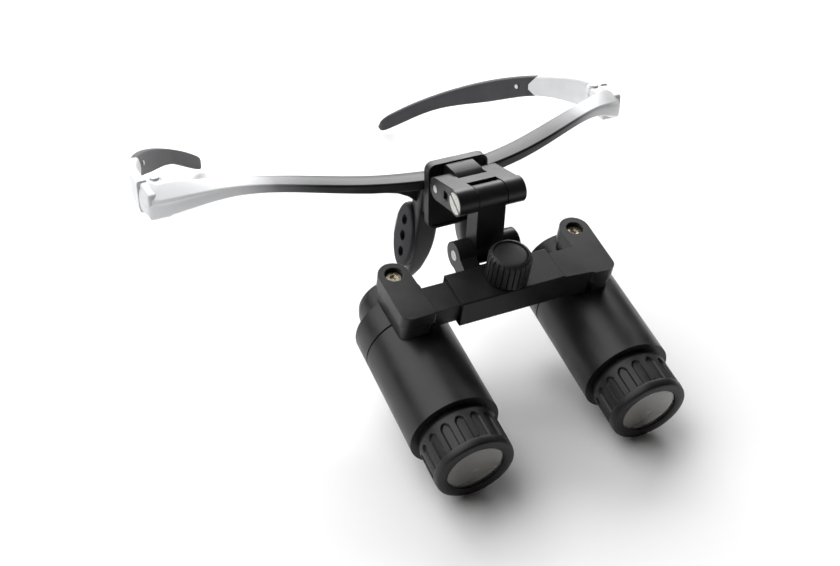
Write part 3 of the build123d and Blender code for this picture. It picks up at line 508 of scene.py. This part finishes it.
def temple_ring(at, t, sign, shrink=1.0, recess=0.0):
    """The rounded upright section at t, as points and their heights from -1 to 1."""
    here, ahead = at(t), at(min(1.0, t + 0.002)) - at(max(0.0, t - 0.002))
    x, y, z, wide, high = here
    along = Vector((sign * ahead[0], ahead[1], 0)).normalized()
    outward = Vector((along.y, -along.x, 0)) * sign
    u, v = wide / 2 * shrink, high / 2 * shrink
    corners = [(u, v, 1.1), (u, -v, 1.1), (-u, -v, 1.1), (-u + recess, -v * 0.45, 0.8), (-u + recess, v * 0.45, 0.8),
               (-u, v, 1.1)]
    middle = Vector((sign * x, y, z))
    outline = rounded(corners, 5)
    return [middle + outward * p.x + Vector((0, 0, p.y)) for p in outline], [p.y / v for p in outline]


def first_past(at, y, steps=2000):
    """The share of the curve where it first lies behind y."""
    return next(k / steps for k in range(steps) if at(k / steps)[1] > y)


def make_temple(side, sign):
    """The pearl temple ends in an arrowhead that points into the rubber tip."""
    at = natural_spline(TEMPLE_STATIONS)
    joint = first_past(at, JOINT_START)
    reach = first_past(at, JOINT_START + ARROW) - joint
    _, heights = temple_ring(at, joint, sign)
    ends = [joint + reach * (1 - min(1.0, abs(h))) for h in heights]

    def point(t, i, shrink=1.0, recess=0.0):
        return temple_ring(at, t, sign, shrink, recess)[0][i]

    count = len(heights)
    shape = bmesh.new()
    rings = []
    for k in range(41):
        share = k / 40
        depth = 0.7 * ease(0.06, 0.16, share) * (1 - ease(0.5, 0.75, share))
        rings.append([point(ends[i] * share, i, 1.0, depth) for i in range(count)])
    skin(shape, rings)
    low, high = KNUCKLES[1] + KNUCKLE_GAP, KNUCKLES[2] - KNUCKLE_GAP
    drum(shape, sign * HINGE_X, HINGE_Y, low, high, HINGE_R)
    bevelled_box(shape, *sorted_box((sign * (HINGE_X + 0.4), sign * 79.8), (HINGE_Y + 0.2, HINGE_Y + 4.4),
                                    (low, high)), 0.3)
    temple = finished(f"temple_{side}_moulding", shape, PEARL, 50)
    stand_for(temple, f"temple_{side}")
    shape = bmesh.new()
    rings = []
    for k in range(57):
        share = k / 56
        cap = max(0.0, (share - 0.94) / 0.06)
        shrink = max(0.12, max(0.0, 1 - cap ** 2.2) ** 0.5) * (1 - 0.04 * (1 - ease(0.0, 0.02, share)))
        rings.append([point(ends[i] + (1 - ends[i]) * share, i, shrink) for i in range(count)])
    skin(shape, rings)
    tip = finished(f"temple_tip_{side}_rubber", shape, RUBBER, 50)
    stand_for(tip, f"temple_tip_{side}")


# ---------------------------------------------------------------- clear lenses
def make_lens(side):
    """The CAD lens with its cut edge made more opaque, a painted stand-in for the faint line that light bent at the
    edge shows, which is all that shows against white.
    """
    node = f"lens_{side}"
    mesh = NODES[node].data.copy()
    mesh.materials.clear()
    mesh.materials.append(LENS)
    mesh.materials.append(LENS_EDGE)
    piece = bpy.data.objects.new(f"{node}_sheet", mesh)
    bpy.context.scene.collection.objects.link(piece)
    for face in mesh.polygons:
        # faces along the cut edge get the more opaque copy, the painted edge line
        face.material_index = 1 if abs(face.normal.y) < 0.35 else 0
    smooth(mesh, 40)
    stand_for(piece, node)


# ---------------------------------------------------------------- making the pieces
SOFT_EDGES = {
    "crossbar_sleeve": 0.15, "arm_left": 0.45, "arm_right": 0.45, "saddle_left": 0.3, "saddle_right": 0.3,
    "bridge_plate": 0.35, "bridge_clamp": 0.3, "flip_link": 0.25, "drop_link": 0.3,
    "rear_housing_left": 0.12, "rear_housing_right": 0.12,
    "eyepiece_housing_left": 0.15, "eyepiece_housing_right": 0.15, "flip_screw": 0.12, "tilt_screw": 0.12,
    "tilt_nut": 0.15, "swing_screw_left": 0.1, "swing_screw_right": 0.1, "nose_pad_left": 0.2, "nose_pad_right": 0.2,
}
for node_name, node in NODES.items():
    node.data.materials.clear()
    node.data.materials.append(MATERIALS[SLOTS[node_name]])
    smooth(node.data)
for node_name, width in SOFT_EDGES.items():
    softened(node_name, width)
make_knob()
make_frame_front()
for side_name, side_sign in (("left", -1), ("right", 1)):
    make_focus_ring(side_name)
    make_temple(side_name, side_sign)
    make_lens(side_name)
    NODES[f"hinge_screw_{side_name}"].data.materials[0] = PEARL


# ---------------------------------------------------------------- floor, light and camera
def backdrop():
    """A large white floor."""
    mesh = bpy.data.meshes.new("floor")
    size = 6.0
    corners = [(-size, -size, 0), (size, -size, 0), (size, size, 0), (-size, size, 0)]
    mesh.from_pydata(corners, [], [(0, 1, 2, 3)])
    floor = bpy.data.objects.new("floor", mesh)
    bpy.context.scene.collection.objects.link(floor)
    mesh.materials.append(shader(
        "floor_white", Base_Color=(0.93, 0.93, 0.93, 1), Roughness=1.0, Specular_IOR_Level=0.0)[0])


def sky():
    """White light from above that fades toward the horizon."""
    world = bpy.data.worlds.new("studio")
    bpy.context.scene.world = world
    world.use_nodes = True
    nodes, links = world.node_tree.nodes, world.node_tree.links
    place = nodes.new("ShaderNodeTexCoord")
    split = nodes.new("ShaderNodeSeparateXYZ")
    height = nodes.new("ShaderNodeMapRange")
    height.inputs["From Min"].default_value = -0.05
    height.inputs["From Max"].default_value = 0.75
    height.inputs["To Min"].default_value = 0.12
    height.inputs["To Max"].default_value = 1.0
    links.new(place.outputs["Generated"], split.inputs["Vector"])
    links.new(split.outputs["Z"], height.inputs["Value"])
    links.new(height.outputs["Result"], nodes["Background"].inputs["Strength"])


def softbox(name, place, aim, size, power):
    light = bpy.data.lights.new(name, "AREA")
    light.shape = "RECTANGLE"
    light.size, light.size_y = size
    light.energy = power
    lamp = bpy.data.objects.new(name, light)
    lamp.location = place
    lamp.rotation_euler = (Vector(aim) - Vector(place)).to_track_quat("-Z", "Y").to_euler()
    bpy.context.scene.collection.objects.link(lamp)


def camera():
    """The camera, in front of the wearer's right side and above."""
    azimuth, elevation, roll = radians(-25.57), radians(33.08), radians(-0.17)
    target = Vector((-22.82, -60.40, 40.63)) * MM
    distance = 323.83 * MM
    right = Vector((cos(azimuth), sin(azimuth), 0))
    up = Vector((-sin(azimuth) * sin(elevation), cos(azimuth) * sin(elevation), cos(elevation)))
    back = Vector((sin(azimuth) * cos(elevation), -cos(azimuth) * cos(elevation), sin(elevation)))
    tilted_right = right * cos(roll) + up * sin(roll)
    tilted_up = up * cos(roll) - right * sin(roll)
    lens = bpy.data.cameras.new("camera")
    lens.sensor_width = 36.0
    lens.lens = 50.9
    lens.clip_start = 0.01
    view = bpy.data.objects.new("camera", lens)
    turn = Matrix((tilted_right, tilted_up, back)).transposed().to_4x4()
    view.matrix_world = Matrix.Translation(target + back * distance) @ turn
    bpy.context.scene.collection.objects.link(view)
    bpy.context.scene.camera = view


backdrop()
sky()
softbox("key", (-0.45, 0.35, 0.8), (0, -0.02, 0.03), (1.2, 1.2), 13)
softbox("back", (0.35, 0.85, 0.6), (0, -0.05, 0.04), (1.3, 0.7), 18)
camera()
bpy.context.scene.view_settings.view_transform = "Standard"
